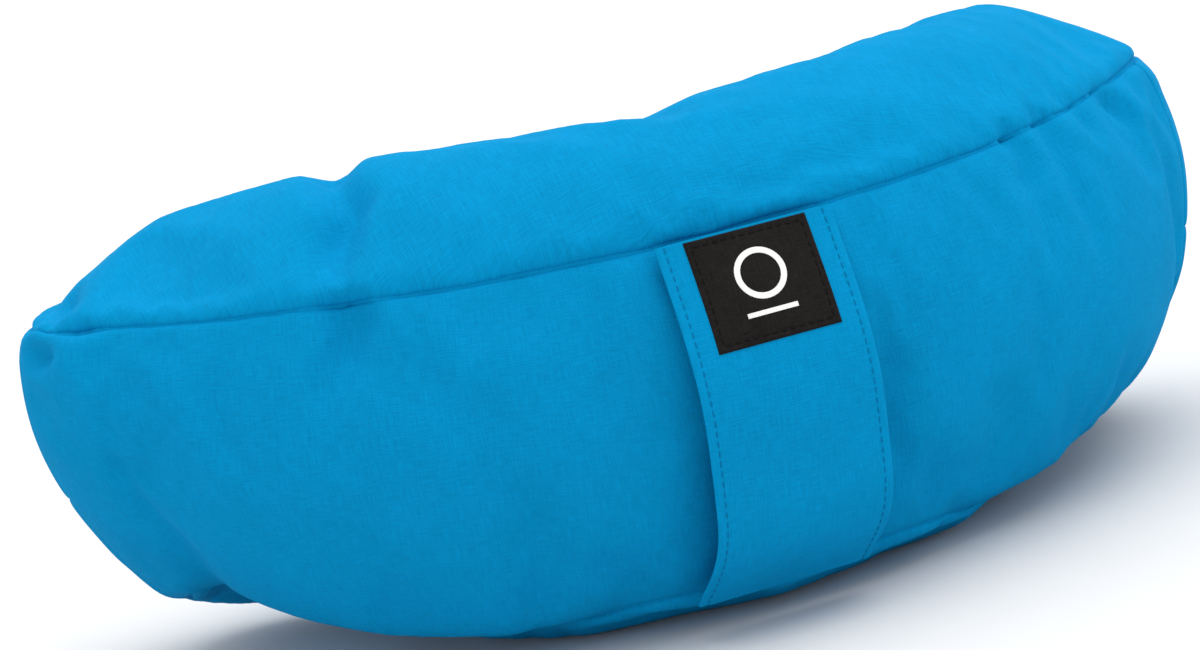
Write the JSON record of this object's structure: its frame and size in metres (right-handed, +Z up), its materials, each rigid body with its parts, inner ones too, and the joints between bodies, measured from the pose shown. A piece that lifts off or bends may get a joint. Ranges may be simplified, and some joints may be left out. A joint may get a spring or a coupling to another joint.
{
  "type": "crescent floor cushion",
  "caption": "Crescent-shaped hull-filled floor cushion with a zipped cotton cover, a zipped inner bag, a fabric carry strap and a blank label.",
  "frame": {"origin": "centre of the bounding box on the floor", "axes": "+X along the cushion's length, -Y out of the convex front wall that carries the strap, +Z up; the hollow back wall with the zip faces +Y"},
  "size_m": [0.461, 0.2261, 0.167],
  "materials": {
    "turquoise_cotton": "plain-weave cotton, matt with a soft sheen",
    "natural_calico": "unbleached calico",
    "buckwheat_hulls": "loose dark hulls, shown as one packed body",
    "blue_zip_tape": "woven tape",
    "blue_nylon_coil": "nylon coil",
    "white_zip_tape": "woven tape",
    "white_nylon_coil": "nylon coil",
    "nickel_zip_metal": "nickel-plated zip metal",
    "black_label_cloth": "woven label",
    "white_print": "screen print"
  },
  "bodies": {
    "cushion": {"cover_top_panel": "turquoise_cotton", "cover_bottom_panel": "turquoise_cotton", "cover_front_band": "turquoise_cotton", "cover_back_band_upper": "turquoise_cotton", "cover_back_band_lower": "turquoise_cotton", "liner_top_panel": "natural_calico", "liner_bottom_panel": "natural_calico", "liner_front_band": "natural_calico", "liner_back_band_upper": "natural_calico", "liner_back_band_lower": "natural_calico", "filling": "buckwheat_hulls", "cover_zip_tape_upper": "blue_zip_tape", "cover_zip_tape_lower": "blue_zip_tape", "cover_zip_coil_upper": "blue_nylon_coil", "cover_zip_coil_lower": "blue_nylon_coil", "cover_zip_stop_left": "nickel_zip_metal", "cover_zip_stop_right": "nickel_zip_metal", "liner_zip_tape_upper": "white_zip_tape", "liner_zip_tape_lower": "white_zip_tape", "liner_zip_coil_upper": "white_nylon_coil", "liner_zip_coil_lower": "white_nylon_coil", "liner_zip_stop_left": "nickel_zip_metal", "liner_zip_stop_right": "nickel_zip_metal", "handle_upper_leg": "turquoise_cotton", "handle_lower_leg": "turquoise_cotton", "label_patch": "black_label_cloth", "label_emblem": "white_print"},
    "grip": {"handle_grip": "turquoise_cotton"},
    "cover_slider": {"cover_zip_slider": "nickel_zip_metal"},
    "cover_pull": {"cover_zip_pull_tab": "nickel_zip_metal"},
    "liner_slider": {"liner_zip_slider": "nickel_zip_metal", "liner_zip_pull_tab": "nickel_zip_metal"}
  },
  "joints": [
    {"name": "handle_pull", "type": "slide", "parent": "cushion", "child": "grip", "axis": [0, -1, 0], "range_m": [0, 0.03], "deforming": ["handle_upper_leg", "handle_lower_leg"]},
    {"name": "cover_zip_run", "type": "hinge", "parent": "cushion", "child": "cover_slider", "pos_m": [0, 0.39608, 0.072], "axis": [0, 0, -1], "range_deg": [0, 33.35]},
    {"name": "cover_pull_swing", "type": "hinge", "parent": "cover_slider", "child": "cover_pull", "pos_m": [0.0901, 0.09531, 0.072], "axis": [0, 0, -1], "range_deg": [0, 170]},
    {"name": "liner_zip_run", "type": "hinge", "parent": "cushion", "child": "liner_slider", "pos_m": [0, 0.39608, 0.072], "axis": [0, 0, -1], "range_deg": [0, 24.21]}
  ]
}
